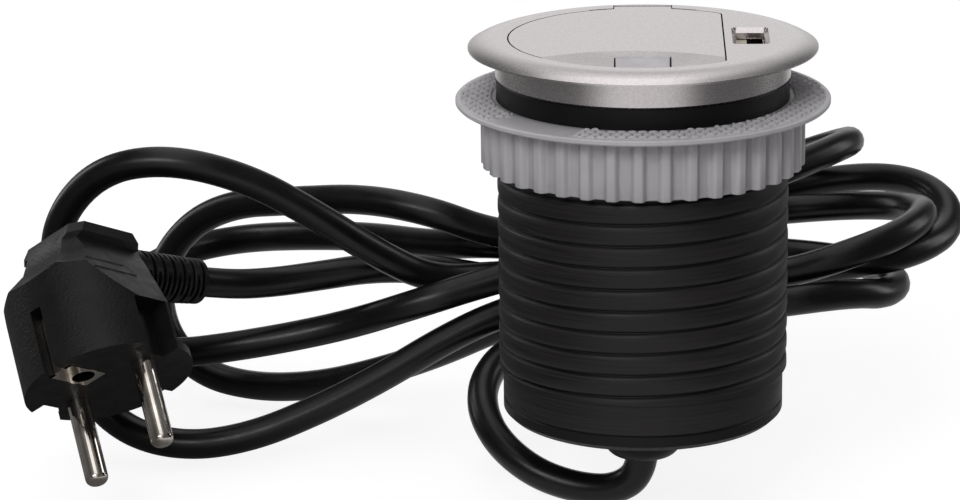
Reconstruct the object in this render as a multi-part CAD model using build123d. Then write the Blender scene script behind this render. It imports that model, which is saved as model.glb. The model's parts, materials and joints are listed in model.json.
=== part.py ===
from build123d import *
from math import dist, radians, tan
import os

# Recessed desk socket: a lidded rim with one earthed socket and one USB mouth,
# on a threaded barrel that a nut clamps under the desk, with its cord and plug.
# Millimetres. Origin at the centre of the rim's seat on the desk, +Z up, -Y to the user.

# Running and seating clearances
FIT = 0.05
SLIDE = 0.1
GAP = 0.3
SEAT = 0.2

# Rim bezel
RIM_D = 70.0
RIM_T = 1.9
CROWN_W = 5.4
RIM_EDGE = 0.35
SKIRT_D = 59.2
SKIRT_WALL = 1.5
SKIRT_H = 5.8
LIP_BEAD = 0.35

# Lid, hinge and latch button
LID_R = 26.8
LID_FLAT_X = 16.0
LID_UNDER = 0.5
LID_CORNER = 1.6
TAB_W = 11.8
PIN_D = 1.2
PIN_L = 18.0
PIN_Y = 28.2
HINGE_SPARE = 0.35
HINGE_SPARE_X = 11.0
EYE_WALL = 0.7
SCOOP_START_Y = -12.5
SCOOP_X = -2.0
SCOOP_SLOPE = 5.7
SCOOP_WIDTH_R = 295.0
BUTTON_W = 10.8
BUTTON_L = 10.8
BUTTON_TRAVEL = 0.8
BUTTON_FLANGE = 0.8
BUTTON_FLANGE_T = 0.8
SPRING_WIRE = 0.45
SPRING_R = 1.7
SPRING_TURNS = 5
SPRING_Y = -24.3
SPRING_FREE = 6.2

# Plug recess and its contacts
RECESS_D = 39.6
RECESS_DEPTH = 17.5
RECESS_X = -5.4
RECESS_WALL = 1.1
RECESS_FLOOR = 1.6
INSERT_PLATE_T = 2.2
PIN_SPACING = 19.0
PLUG_PIN_D = 4.8
PIN_HOLE_R = 2.7
RIB_W = 4.6
RIB_OUT = 1.3
STRIP_W = 6.0
STRIP_T = 0.8
EARTH_SLOT_W = 7.0
SLEEVE_WALL = 0.65
SLEEVE_L = 13.8
SHUTTER_T = 1.3
SHUTTER_TRAVEL = 5.5
SHUTTER_W = 25.0
SHUTTER_L = 13.0
SHUTTER_SPRING_R = 0.9
SHUTTER_SPRING_WIRE = 0.3
CARRIER_W = 33.0
CARRIER_L = 27.0
CARRIER_BOTTOM = -38.0
TERMINAL_W = 30.0
TERMINAL_L = 12.0
TERMINAL_H = 8.0
BLADE_L = 5.8

# USB mouth and charger board
USB_X = 21.5
USB_Y = 0.8
USB_SHELL_X = 5.7
USB_SHELL_Y = 13.1
USB_SHELL_T = 0.3
USB_SHELL_L = 14.0
USB_BEVEL_X = 7.4
USB_BEVEL_Y = 15.2
USB_BEVEL_H = 0.95
USB_CORNER = 1.2
USB_MOUTH_CORNER = 0.1
USB_SINK = 2.05
TONGUE_T = 1.9
TONGUE_W = 11.0
TONGUE_SINK = 2.2
BOARD_T = 1.5
BOARD_W = 22.0
BOARD_BOTTOM = -62.0

# Threaded barrel, its cap and the clamp pieces
BARREL_D = 58.8
BARREL_BORE = 53.2
NECK_D = 55.8
LOWER_D = 57.2
BARREL_DEPTH = 72.7
FOOT_H = 6.7
CAP_T = 3.2
CAP_SPIGOT_H = 2.4
CAP_SCREW_PCD = 48.4
CAP_SCREW_N = 3
BOSS_R = 2.7
SCREW_SHANK_R = 1.1
SCREW_HEAD_R = 2.3
SCREW_HEAD_H = 1.3
SCREW_L = 9.0
WASHER_D = 75.2
WASHER_T = 1.15
WASHER_TOP_Z = -10.0
NUT_D = 66.2
NUT_H = 12.5
FLUTES = 38
FLUTE_R = 2.0
FLUTE_DEPTH = 1.1
FLUTE_TURN = -1.43
FLUTE_COLLAR = 0.6

# Gland and cord
GLAND_D = 16.0
GLAND_H = 10.2
GLAND_STUB_R = 6.2
GLAND_STUB_L = 7.5
GLAND_NUT_AF = 15.0
GLAND_NUT_H = 3.0
GLAND_MOUTH = 2.0
CORD_D = 6.6
CORD_SIDES = 10
TIE_CORNERS = [(45.6, -74.7), (44.9, -66.9), (45.8, -59.2),
               (56.1, -56.0), (63.2, -60.1), (65.9, -68.1)]
TIE_X = -20.0
TIE_GAP = 1.1
TIE_T = 1.2
TIE_W = 3.2

# Plug: its axis points back from the pin face, its side axis towards the cord
PLUG_AT = (-110.1, -0.83, -70.75)
PLUG_SIDE = (0.5621, 0.7266, -0.3947)
PLUG_BACK = (-0.2865, 0.6188, 0.7314)
PLUG_D = 36.0
PLUG_LIP_R = 17.6
PLUG_LIP_H = 2.0
PLUG_GROOVE_X = -2.0
PLUG_GROOVE_W = 9.0
PLUG_GROOVE_Y = 13.2
PLUG_SLOT_W = 2.9
PLUG_SLOT_X = 14.4
PLUG_SLOT_H = 13.8
# Height, low X, high X, half width and the corner cuts at low X and high X of each section
PLUG_FORM = [
    (10.8, -18.6, 17.0, 17.2, 7.4, 13.6),
    (19.9, -18.4, 15.5, 12.3, 4.8, 8.5),
    (25.4, -12.3, 14.0, 9.3, 3.6, 4.8),
    (29.2, -10.4, 13.4, 7.3, 2.2, 3.3),
    (30.2, -9.9, 13.2, 8.8, 2.4, 3.6),
    (32.8, -8.2, 12.6, 8.4, 2.4, 3.6)]
PLUG_PIN_L = 19.0
PLUG_PIN_ROOT = 8.0
PLUG_PIN_ROOT_R = 2.2
PLUG_STRIP_W = 2.7
PLUG_STRIP_L = 12.6
EARTH_HOLE_X = 8.0
EARTH_HOLE_R = 2.4
EARTH_PLATE_X = 4.2
EARTH_PLATE_W = 5.9
EARTH_TUBE_L = 6.5
RELIEF_H = 26.3
RELIEF_START = 11.0
RELIEF_RIB_X = 18.0
RELIEF_END = 30.0
RELIEF_R = 5.6
RELIEF_RIBS = 6
RELIEF_LEAN = -11.7

RIM_R = RIM_D / 2
SKIRT_R = SKIRT_D / 2
SKIRT_IN_R = SKIRT_R - SKIRT_WALL
LID_BOTTOM = -LID_UNDER
PIN_Z = RIM_T - PIN_D / 2 - EYE_WALL
EYE_R = PIN_D / 2 + EYE_WALL
INSERT_TOP = LID_BOTTOM - GAP
INSERT_UNDER = INSERT_TOP - INSERT_PLATE_T
INSERT_R = SKIRT_IN_R - GAP
RECESS_R = RECESS_D / 2
CUP_R = RECESS_R + RECESS_WALL
RECESS_FLOOR_Z = INSERT_TOP - RECESS_DEPTH
CUP_BOTTOM = RECESS_FLOOR_Z - RECESS_FLOOR
STRAP_TOP = CUP_BOTTOM - SEAT
CARRIER_TOP = STRAP_TOP - STRIP_T - SEAT
SHUTTER_TOP = CARRIER_TOP - SEAT
SLEEVE_R = PLUG_PIN_D / 2 + FIT + SLEEVE_WALL
SLEEVE_TOP = SHUTTER_TOP - SHUTTER_T - 2 * SEAT
TERMINAL_TOP = CARRIER_BOTTOM - SEAT
BARREL_R = BARREL_D / 2
BORE_R = BARREL_BORE / 2
NECK_R = NECK_D / 2
LOWER_R = LOWER_D / 2
NECK_TOP = INSERT_UNDER - SEAT
COLLAR_TOP = -SKIRT_H
CAP_SEAM_Z = -BARREL_DEPTH
THREAD_END_Z = CAP_SEAM_Z + FOOT_H
CAP_BOTTOM_Z = CAP_SEAM_Z - CAP_T
WASHER_R = WASHER_D / 2
NUT_TOP = WASHER_TOP_Z - WASHER_T
NUT_R = NUT_D / 2
CLAMP_BORE_R = BARREL_R + SLIDE
GLAND_R = GLAND_D / 2
GLAND_BOTTOM = CAP_BOTTOM_Z - GLAND_H
GLAND_TOP = CAP_BOTTOM_Z + GLAND_STUB_L
CORD_R = CORD_D / 2
PLUG_R = PLUG_D / 2


def box(x0, x1, y0, y1, z0, z1):
    centre = Location(((x0 + x1) / 2, (y0 + y1) / 2, (z0 + z1) / 2))
    return centre * Box(x1 - x0, y1 - y0, z1 - z0)


def rod(x, y, radius, z0, z1):
    return Location((x, y, (z0 + z1) / 2)) * Cylinder(radius, z1 - z0)


def cross_rod(y, z, radius, half_length):
    return Location((0, y, z), (0, 90, 0)) * Cylinder(radius, 2 * half_length)


def turned(*points):
    return revolve(Plane.XZ * make_face(Polyline(*points, close=True)), Axis.Z)


def spring_coil(radius, wire, turns, height):
    helix = Helix(pitch=(height - wire) / turns, height=height - wire, radius=radius)
    section = Plane(origin=helix @ 0, z_dir=helix % 0) * RegularPolygon(wire / 2, 6)
    return Pos(0, 0, wire / 2) * sweep(section, path=helix)


# The D-shaped outline that the lid and its opening share
def lid_outline(grow):
    disc = Circle(LID_R + grow)
    side = LID_FLAT_X + grow
    keep = Pos(side - RIM_R, 0) * Rectangle(2 * RIM_R, 2 * RIM_D)
    outline = disc & keep
    corners = outline.vertices().sort_by(Axis.X)[-2:]
    return fillet(corners, LID_CORNER + grow)


def rim_bezel():
    with BuildSketch(Plane.XZ) as profile:
        with BuildLine():
            top = Line((0, RIM_T), (RIM_R - CROWN_W, RIM_T))
            crown = TangentArc(top @ 1, (RIM_R, RIM_EDGE), tangent=(1, 0))
            Polyline(crown @ 1, (RIM_R, 0), (SKIRT_R, 0), (SKIRT_R, LIP_BEAD - SKIRT_H),
                     (SKIRT_R - LIP_BEAD, -SKIRT_H), (SKIRT_IN_R, -SKIRT_H),
                     (SKIRT_IN_R, LID_BOTTOM), (0, LID_BOTTOM), (0, RIM_T))
        make_face()
    bezel = revolve(profile.sketch, Axis.Z)
    bezel -= extrude(Pos(0, 0, -1) * lid_outline(GAP), RIM_T + 2)
    spare = HINGE_SPARE_X
    behind_lid = box(-spare, spare, PIN_Y - LID_R / 2, RIM_R, -1, RIM_T + 1)
    bezel -= rod(0, 0, LID_R + GAP + HINGE_SPARE, -1, RIM_T + 1) & behind_lid
    back = PIN_Y + EYE_R + GAP
    half = TAB_W / 2 + SEAT
    bezel -= box(-half, half, LID_R - 3, back, PIN_Z - EYE_R - GAP, RIM_T + 1)
    bezel -= cross_rod(PIN_Y, PIN_Z, PIN_D / 2 + FIT, PIN_L / 2 + FIT)
    boss_x = USB_BEVEL_X / 2 + 0.8
    boss_y = USB_BEVEL_Y / 2 + 0.8
    side = USB_X + boss_x - 0.4
    bezel += box(USB_X - boss_x, side, USB_Y - boss_y, USB_Y + boss_y, LID_BOTTOM, RIM_T)
    mouth_x = USB_SHELL_X + 2 * FIT
    mouth_y = USB_SHELL_Y + 2 * FIT
    top = Pos(USB_X, USB_Y, RIM_T) * RectangleRounded(USB_BEVEL_X, USB_BEVEL_Y, USB_CORNER)
    mouth = Pos(USB_X, USB_Y) * RectangleRounded(mouth_x, mouth_y, USB_MOUTH_CORNER)
    bezel -= loft([top, Pos(0, 0, RIM_T - USB_BEVEL_H) * mouth], ruled=True)
    return bezel - extrude(Pos(0, 0, LID_BOTTOM - 1) * mouth, RIM_T + 1)


def scoop():
    drum = Cylinder(SCOOP_WIDTH_R, RIM_D, rotation=(90, 0, 0))
    tilted = Rot(SCOOP_SLOPE, 0, 0) * Pos(0, 0, SCOOP_WIDTH_R) * drum
    return Pos(SCOOP_X, SCOOP_START_Y, RIM_T) * tilted


def button_slot(clearance):
    half = BUTTON_W / 2 + clearance
    rear = -LID_R + BUTTON_L + clearance
    return box(-half, half, -RIM_R, rear, LID_BOTTOM - 1, RIM_T + 1)


def lid():
    plate = extrude(Pos(0, 0, LID_BOTTOM) * lid_outline(0), RIM_T - LID_BOTTOM)
    half = TAB_W / 2
    tab = box(-half, half, LID_R - 4, PIN_Y, LID_BOTTOM, RIM_T)
    tab -= box(-RIM_R, RIM_R, PIN_Y - EYE_R, RIM_R, LID_BOTTOM - 1, PIN_Z)
    eye = cross_rod(PIN_Y, PIN_Z, EYE_R, half)
    plate = plate + tab + eye
    plate -= cross_rod(PIN_Y, PIN_Z, PIN_D / 2 + FIT, half + 1)
    plate -= scoop()
    plate -= button_slot(SEAT)
    return plate


def hinge_pin():
    return cross_rod(PIN_Y, PIN_Z, PIN_D / 2, PIN_L / 2)


def latch_button():
    half = BUTTON_W / 2
    rear = -LID_R + BUTTON_L
    flange_top = LID_BOTTOM - SEAT
    flange_bottom = flange_top - BUTTON_FLANGE_T
    front = extrude(Pos(0, 0, flange_bottom) * Circle(LID_R), RIM_T - flange_bottom)
    cap = front & box(-half, half, -RIM_R, rear, flange_bottom, RIM_T)
    cap -= scoop()
    wide = half + BUTTON_FLANGE
    flange = front & box(-wide, wide, -RIM_R, rear + BUTTON_FLANGE, flange_bottom, flange_top)
    return cap + flange


def latch_spring():
    coil = spring_coil(SPRING_R, SPRING_WIRE, SPRING_TURNS, SPRING_FREE)
    top = LID_BOTTOM - SEAT - BUTTON_FLANGE_T - SEAT
    return Pos(0, SPRING_Y, top - SPRING_FREE) * coil


def socket_insert():
    plate = rod(0, 0, INSERT_R, INSERT_UNDER, INSERT_TOP)
    cup = rod(RECESS_X, 0, CUP_R, CUP_BOTTOM, INSERT_TOP)
    recess = rod(RECESS_X, 0, RECESS_R, RECESS_FLOOR_Z, INSERT_TOP + 1)
    spring_bottom = LID_BOTTOM - 2 * SEAT - BUTTON_FLANGE_T - SPRING_FREE
    seat_r = SPRING_R + SPRING_WIRE + GAP
    seat = rod(0, SPRING_Y, seat_r + 1, spring_bottom - 1.2, INSERT_TOP)
    body = plate + cup + seat
    body -= recess
    body -= rod(0, SPRING_Y, seat_r, spring_bottom, INSERT_TOP + 1)
    well_half = BUTTON_W / 2 + BUTTON_FLANGE + GAP
    well_rear = -LID_R + BUTTON_L + BUTTON_FLANGE + GAP
    well_floor = LID_BOTTOM - SEAT - BUTTON_FLANGE_T - BUTTON_TRAVEL - GAP
    body -= box(-well_half, well_half, -RIM_R, well_rear, well_floor, INSERT_TOP + 1)
    for side in (-1, 1):
        rib_x = RECESS_X + side * (RECESS_R - RIB_OUT / 2 + 0.2)
        rib_z = (RECESS_FLOOR_Z + INSERT_TOP) / 2 - 1
        rib = Pos(rib_x, 0, rib_z) * Box(RIB_OUT + 0.4, RIB_W, RECESS_DEPTH - 2)
        body += rib & rod(RECESS_X, 0, CUP_R - 0.2, CUP_BOTTOM, INSERT_TOP)
        body -= rod(RECESS_X + side * PIN_SPACING / 2, 0, PIN_HOLE_R, CUP_BOTTOM - 1, INSERT_TOP)
        slot_y = side * (RECESS_R + RECESS_WALL / 2)
        slot_top = INSERT_UNDER - 0.4
        body -= Pos(RECESS_X, slot_y, (slot_top + CUP_BOTTOM) / 2) * Box(
            EARTH_SLOT_W, 2 * RECESS_WALL + 1, slot_top - CUP_BOTTOM + 1)
    usb_x = USB_SHELL_X / 2 + GAP
    usb_y = USB_SHELL_Y / 2 + GAP
    passage = Pos(USB_X, USB_Y, INSERT_TOP) * Box(2 * usb_x, 2 * usb_y, 2 * (INSERT_PLATE_T + 1))
    return body - passage


# One strip, bent up both sides of the recess into a springy contact each side
def earth_bracket():
    out_y = CUP_R + SEAT + STRIP_T / 2
    low_z = STRAP_TOP - STRIP_T / 2
    right = [(out_y, low_z), (out_y, low_z + 7),
             (RECESS_R - 2.2, low_z + 12), (RECESS_R - 0.6, low_z + 16)]
    left = [(-y, z) for y, z in reversed(right)]
    outline = trace(Polyline(*left, *right), STRIP_T)
    return Pos(RECESS_X, 0, 0) * extrude(Plane.YZ * outline, STRIP_W / 2, both=True)


def contact_sleeve(side):
    x = RECESS_X + side * PIN_SPACING / 2
    bottom = SLEEVE_TOP - SLEEVE_L
    tube = rod(x, 0, SLEEVE_R, bottom, SLEEVE_TOP)
    tube -= rod(x, 0, SLEEVE_R - SLEEVE_WALL, bottom + 1, SLEEVE_TOP + 1)
    tube -= box(x - 0.4, x + 0.4, -SLEEVE_R - 1, SLEEVE_R + 1, bottom + 4, SLEEVE_TOP + 1)
    return tube + box(x - 1.5, x + 1.5, -0.4, 0.4, bottom - BLADE_L, bottom + 0.5)


def child_shutter():
    far_y = SHUTTER_TRAVEL + 4
    half = SHUTTER_W / 2
    under = SHUTTER_TOP - SHUTTER_T
    plate = box(RECESS_X - half, RECESS_X + half, far_y - SHUTTER_L, far_y, under, SHUTTER_TOP)
    for side in (-1, 1):
        x = RECESS_X + side * PIN_SPACING / 2
        plate -= rod(x, SHUTTER_TRAVEL, PIN_HOLE_R, under - 1, SHUTTER_TOP + 1)
    ear_x = RECESS_X + half
    front = far_y - SHUTTER_L
    return plate + box(ear_x - 1, ear_x + 2.7, front, front + 1.2, under, SHUTTER_TOP)


# It pulls the shutter's ear back, away from the recess's front
def shutter_spring():
    rear = SHUTTER_TRAVEL + 4
    length = SHUTTER_L - 1.2
    coil = spring_coil(SHUTTER_SPRING_R, SHUTTER_SPRING_WIRE, 10, length)
    x = RECESS_X + SHUTTER_W / 2 + 1.6
    z = SHUTTER_TOP - SHUTTER_T / 2 - 0.2
    return Location((x, rear, z), (90, 0, 0)) * coil


def contact_carrier():
    x0 = RECESS_X - CARRIER_W / 2
    body = box(x0, x0 + CARRIER_W, -CARRIER_L / 2, CARRIER_L / 2, CARRIER_BOTTOM, CARRIER_TOP)
    half = SHUTTER_W / 2 + GAP
    front = SHUTTER_TRAVEL + 4 - SHUTTER_L - SHUTTER_TRAVEL - GAP
    back = SHUTTER_TRAVEL + 4 + GAP
    track = SHUTTER_TOP - SHUTTER_T - SEAT
    body -= box(RECESS_X - half, RECESS_X + half, front, back, track, CARRIER_TOP + 1)
    ear_way = RECESS_X + half + 2.9
    body -= box(RECESS_X, ear_way, front, back - GAP, SHUTTER_TOP - 2.3, CARRIER_TOP + 1)
    for side in (-1, 1):
        x = RECESS_X + side * PIN_SPACING / 2
        body -= rod(x, 0, SLEEVE_R + SLIDE, CARRIER_BOTTOM - 1, CARRIER_TOP + 1)
    return body


def terminal_block():
    bottom = TERMINAL_TOP - TERMINAL_H
    x0 = RECESS_X - TERMINAL_W / 2
    block = box(x0, x0 + TERMINAL_W, -TERMINAL_L / 2, TERMINAL_L / 2, bottom, TERMINAL_TOP)
    for side in (-1, 1):
        x = RECESS_X + side * PIN_SPACING / 2
        block -= box(x - 1.6, x + 1.6, -0.5, 0.5, bottom + 3.5, TERMINAL_TOP + 1)
    for column in (-1, 0, 1):
        x = RECESS_X + column * PIN_SPACING / 2
        block -= Location((x, -TERMINAL_L / 2, bottom + 2.4), (90, 0, 0)) * Cylinder(1.6, 6)
    return block


def terminal_screws():
    bottom = TERMINAL_TOP - TERMINAL_H
    screws = []
    for column in (-1, 0, 1):
        x = RECESS_X + column * PIN_SPACING / 2
        seat = Location((x, -TERMINAL_L / 2 + 1, bottom + 2.4), (90, 0, 0))
        screws.append(seat * Cylinder(1.5, 3))
    return Compound(screws)


def usb_shell():
    top = RIM_T - USB_SINK
    outer_x = USB_SHELL_X / 2
    outer_y = USB_SHELL_Y / 2
    outer = box(-outer_x, outer_x, -outer_y, outer_y, top - USB_SHELL_L, top)
    inner_x = outer_x - USB_SHELL_T
    inner_y = outer_y - USB_SHELL_T
    inner = box(-inner_x, inner_x, -inner_y, inner_y, top - USB_SHELL_L + 1, top + 1)
    return Pos(USB_X, USB_Y, 0) * (outer - inner)


def usb_tongue():
    left = USB_X - USB_SHELL_X / 2 + USB_SHELL_T
    floor = RIM_T - USB_SINK - USB_SHELL_L + 1
    half = TONGUE_W / 2
    return box(left, left + TONGUE_T, USB_Y - half, USB_Y + half, floor, RIM_T - TONGUE_SINK)


def usb_board():
    right = USB_X - USB_SHELL_X / 2 - SEAT
    half = BOARD_W / 2
    return box(right - BOARD_T, right, USB_Y - half, USB_Y + half, BOARD_BOTTOM, INSERT_UNDER - GAP)


def usb_transformer():
    left = USB_X - USB_SHELL_X / 2 - SEAT
    core = box(left, left + 6.5, USB_Y - 6, USB_Y + 5, -42, -28)
    core += box(left, left + 5.5, USB_Y - 7.5, USB_Y + 6.5, -38.5, -31.5)
    return core


def usb_capacitors():
    left = USB_X - USB_SHELL_X / 2 - SEAT - BOARD_T
    cans = []
    for y, radius, length in ((-5.2, 4.0, 12.0), (5.5, 3.2, 9.0)):
        can = Location((left - radius, USB_Y + y, -54)) * Cylinder(radius, length)
        cans.append(can)
    return Compound(cans)


def threaded_barrel():
    barrel = turned((BORE_R, CAP_SEAM_Z), (LOWER_R, CAP_SEAM_Z), (LOWER_R, THREAD_END_Z),
                    (BARREL_R, THREAD_END_Z), (BARREL_R, COLLAR_TOP), (NECK_R, COLLAR_TOP),
                    (NECK_R, NECK_TOP), (BORE_R, NECK_TOP))
    for spot in PolarLocations(CAP_SCREW_PCD / 2, CAP_SCREW_N, start_angle=90):
        boss = spot * Pos(0, 0, CAP_SEAM_Z + 6.5) * Cylinder(BOSS_R, 13)
        barrel += boss & rod(0, 0, BARREL_R - 1, CAP_SEAM_Z, NECK_TOP)
        barrel -= spot * Pos(0, 0, CAP_SEAM_Z + 4) * Cylinder(SCREW_SHANK_R + FIT, 10)
    half = TAB_W / 2 + SEAT
    barrel -= box(-half, half, BORE_R - 2, RIM_R, NECK_TOP - 0.5, 0)
    barrel -= rod(0, SPRING_Y, SPRING_R + SPRING_WIRE + 2 * GAP + 1, NECK_TOP - 6.5, 0)
    return barrel


def clamp_washer():
    return turned((CLAMP_BORE_R, NUT_TOP), (WASHER_R - 0.3, NUT_TOP), (WASHER_R, NUT_TOP + 0.3),
                  (WASHER_R, WASHER_TOP_Z - 0.2), (WASHER_R - 0.2, WASHER_TOP_Z),
                  (CLAMP_BORE_R, WASHER_TOP_Z))


def clamp_nut():
    bottom = NUT_TOP - NUT_H
    nut = rod(0, 0, NUT_R, bottom, NUT_TOP)
    flute = Cylinder(FLUTE_R, NUT_H - FLUTE_COLLAR)
    for spot in PolarLocations(NUT_R + FLUTE_R - FLUTE_DEPTH, FLUTES, start_angle=FLUTE_TURN):
        nut -= spot * Pos(0, 0, bottom + (NUT_H - FLUTE_COLLAR) / 2) * flute
    return nut - rod(0, 0, CLAMP_BORE_R, bottom - 1, NUT_TOP + 1)


def bottom_cap():
    cap = turned((0, CAP_BOTTOM_Z), (LOWER_R - 1, CAP_BOTTOM_Z), (LOWER_R, CAP_BOTTOM_Z + 1),
                 (LOWER_R, CAP_SEAM_Z - 0.3), (LOWER_R - 0.3, CAP_SEAM_Z), (0, CAP_SEAM_Z))
    spigot_r = BORE_R - SEAT
    spigot_top = CAP_SEAM_Z + CAP_SPIGOT_H
    spigot = turned((spigot_r - 1.4, CAP_SEAM_Z), (spigot_r, CAP_SEAM_Z),
                    (spigot_r, spigot_top), (spigot_r - 1.4, spigot_top))
    for spot in PolarLocations(CAP_SCREW_PCD / 2, CAP_SCREW_N, start_angle=90):
        spigot -= spot * Pos(0, 0, CAP_SEAM_Z + 2) * Cylinder(BOSS_R + GAP, 4.01)
    cap += spigot
    for spot in PolarLocations(CAP_SCREW_PCD / 2, CAP_SCREW_N, start_angle=90):
        cap -= spot * Pos(0, 0, CAP_BOTTOM_Z) * Cylinder(SCREW_SHANK_R + SEAT, 8)
        cap -= spot * Pos(0, 0, CAP_BOTTOM_Z) * Cylinder(SCREW_HEAD_R + SEAT, 2 * (SCREW_HEAD_H + SEAT))
    return cap - rod(0, 0, GLAND_STUB_R + SLIDE, CAP_BOTTOM_Z - 1, CAP_SEAM_Z + 1)


def cap_screws():
    screws = []
    head_top = CAP_BOTTOM_Z + SEAT + SCREW_HEAD_H
    for spot in PolarLocations(CAP_SCREW_PCD / 2, CAP_SCREW_N, start_angle=90):
        head = Pos(0, 0, head_top - SCREW_HEAD_H / 2) * Cylinder(SCREW_HEAD_R, SCREW_HEAD_H)
        shank = Pos(0, 0, head_top + SCREW_L / 2) * Cylinder(SCREW_SHANK_R, SCREW_L)
        cross = Pos(0, 0, CAP_BOTTOM_Z + SEAT) * (Box(3.0, 0.6, 1.2) + Box(0.6, 3.0, 1.2))
        screws.append(spot * (head + shank - cross))
    return Compound(screws)


def cable_gland():
    with BuildSketch(Plane.XZ) as profile:
        with BuildLine():
            side = Polyline((0, GLAND_TOP), (GLAND_STUB_R, GLAND_TOP),
                            (GLAND_STUB_R, CAP_BOTTOM_Z), (GLAND_R, CAP_BOTTOM_Z),
                            (GLAND_R, GLAND_BOTTOM + 3.2))
            dome = TangentArc(side @ 1, (GLAND_R - 3.4, GLAND_BOTTOM), tangent=(0, -1))
            Polyline(dome @ 1, (0, GLAND_BOTTOM), (0, GLAND_TOP))
        make_face()
    gland = revolve(profile.sketch, Axis.Z)
    gland -= rod(0, 0, CORD_R + SLIDE, GLAND_BOTTOM - 1, GLAND_BOTTOM + GLAND_MOUTH)
    return gland


def gland_nut():
    low = CAP_SEAM_Z
    hexagon = Pos(0, 0, low) * RegularPolygon(GLAND_NUT_AF / 2, 6, major_radius=False)
    bore = rod(0, 0, GLAND_STUB_R + FIT, low - 1, low + GLAND_NUT_H + 1)
    return extrude(hexagon, GLAND_NUT_H) - bore


def cord_clamp():
    bar = box(-9, 9, -3, 3, GLAND_TOP, GLAND_TOP + 2.2)
    return bar - rod(0, 0, 1.4, GLAND_TOP - 1, GLAND_TOP + 4)


# The cord's route from the gland through the hank to the plug, by hand.
# The tie holds it where x is -20. Cord, tie and plug keep their place under the gland.
CORD_ROUTE = [
    (0.0, 0.0, -84.1), (0.0, 0.0, -90.0), (-5.3, 1.2, -94.8), (-14.1, 4.4, -95.5),
    (-23.6, 7.1, -92.8), (-31.6, 13.7, -87.7), (-34.9, 23.6, -82.4), (-32.6, 34.0, -78.2),
    (-25.5, 42.4, -75.5), (-19.1, 46.4, -74.4), (-6.0, 50.8, -75.0), (13.2, 46.9, -70.6),
    (32.6, 43.9, -66.7), (46.7, 50.9, -67.1), (53.4, 58.1, -69.7), (57.8, 70.6, -70.9),
    (53.8, 83.2, -70.7), (43.2, 91.2, -70.6), (26.1, 92.8, -69.6), (9.6, 81.0, -67.7),
    (-3.6, 65.7, -65.4), (-19.6, 53.1, -63.1), (-33.1, 51.5, -63.6), (-46.6, 48.4, -63.3),
    (-58.1, 42.4, -55.4), (-70.0, 36.3, -45.4), (-84.1, 32.6, -36.0), (-100.5, 30.0, -31.0),
    (-115.1, 32.3, -33.8), (-125.1, 35.1, -44.2), (-127.7, 37.4, -56.9), (-126.9, 38.1, -70.5),
    (-122.3, 34.8, -83.6), (-112.6, 29.7, -92.1), (-99.0, 25.8, -94.4), (-84.5, 26.3, -92.3),
    (-69.5, 30.1, -87.0), (-56.0, 34.5, -81.0), (-43.0, 39.3, -74.2), (-31.8, 42.3, -69.5),
    (-19.9, 45.2, -66.7), (-5.2, 47.8, -64.9), (12.9, 50.2, -63.8), (30.4, 51.7, -63.4),
    (45.5, 52.5, -58.7), (57.9, 60.0, -55.9), (63.8, 73.7, -55.0), (60.9, 88.0, -57.8),
    (49.5, 97.5, -60.0), (29.4, 98.8, -61.8), (13.7, 84.5, -60.5), (-1.5, 69.3, -58.0),
    (-18.4, 55.3, -56.3), (-33.5, 54.5, -54.5), (-46.9, 52.5, -48.7), (-62.0, 58.2, -47.5),
    (-78.0, 64.4, -49.8), (-93.2, 72.2, -52.7), (-104.3, 75.8, -59.6), (-111.0, 75.9, -70.8),
    (-109.4, 72.8, -83.8), (-100.3, 68.8, -92.0), (-87.8, 65.7, -94.2), (-73.0, 57.9, -91.2),
    (-59.0, 54.3, -86.8), (-45.5, 52.9, -81.8), (-33.1, 52.0, -75.9), (-20.2, 52.0, -70.3),
    (-5.4, 58.2, -70.9), (12.9, 62.1, -68.1), (30.9, 64.5, -67.1), (46.3, 61.5, -63.8),
    (59.7, 66.7, -62.9), (69.7, 81.3, -62.0), (70.1, 95.2, -58.2), (61.9, 106.9, -56.1),
    (48.3, 111.8, -57.0), (28.2, 106.6, -59.7), (11.5, 93.0, -60.9), (-3.3, 77.2, -61.4),
    (-19.3, 62.3, -60.3), (-33.2, 60.0, -58.3), (-46.5, 65.1, -60.3), (-61.0, 71.0, -60.0),
    (-77.3, 80.2, -62.4), (-92.9, 91.9, -66.4), (-106.2, 92.7, -69.3), (-117.3, 86.0, -73.3),
    (-122.3, 73.9, -77.3), (-119.5, 60.8, -80.0), (-106.9, 47.4, -80.7), (-87.3, 45.8, -77.7),
    (-66.1, 47.4, -73.9), (-49.8, 40.1, -66.6), (-35.5, 43.5, -62.8), (-20.1, 45.8, -59.2),
    (-4.7, 49.1, -56.7), (11.0, 55.7, -49.9), (25.1, 62.8, -44.7), (36.9, 72.8, -42.9),
    (45.4, 82.7, -41.8), (48.4, 96.1, -44.0), (43.0, 108.2, -48.6), (28.9, 116.5, -55.8),
    (11.3, 111.5, -63.2), (1.0, 93.4, -65.7), (-10.4, 74.7, -67.9), (-19.6, 64.5, -67.9),
    (-28.7, 60.7, -67.8), (-46.0, 55.9, -63.2), (-59.5, 52.9, -61.9), (-72.6, 49.6, -63.1),
    (-81.8, 46.1, -63.4)]
EXIT_LAST = 9
HANK_LAST = 106
CORD_DROP = GLAND_BOTTOM + GLAND_MOUTH - CORD_ROUTE[0][2]
PLUG_ORIGIN = (PLUG_AT[0], PLUG_AT[1], PLUG_AT[2] + CORD_DROP)
PLUG_FRAME = Plane(origin=PLUG_ORIGIN, x_dir=PLUG_SIDE, z_dir=PLUG_BACK)


def relief_point(x):
    return (PLUG_FRAME * Rot(0, 0, RELIEF_LEAN) * Pos(x, 0, RELIEF_H)).position


def cord_corners():
    ends = [relief_point(RELIEF_END + 9), relief_point(RELIEF_END)]
    return [Vector(x, y, z + CORD_DROP) for x, y, z in CORD_ROUTE] + ends


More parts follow.
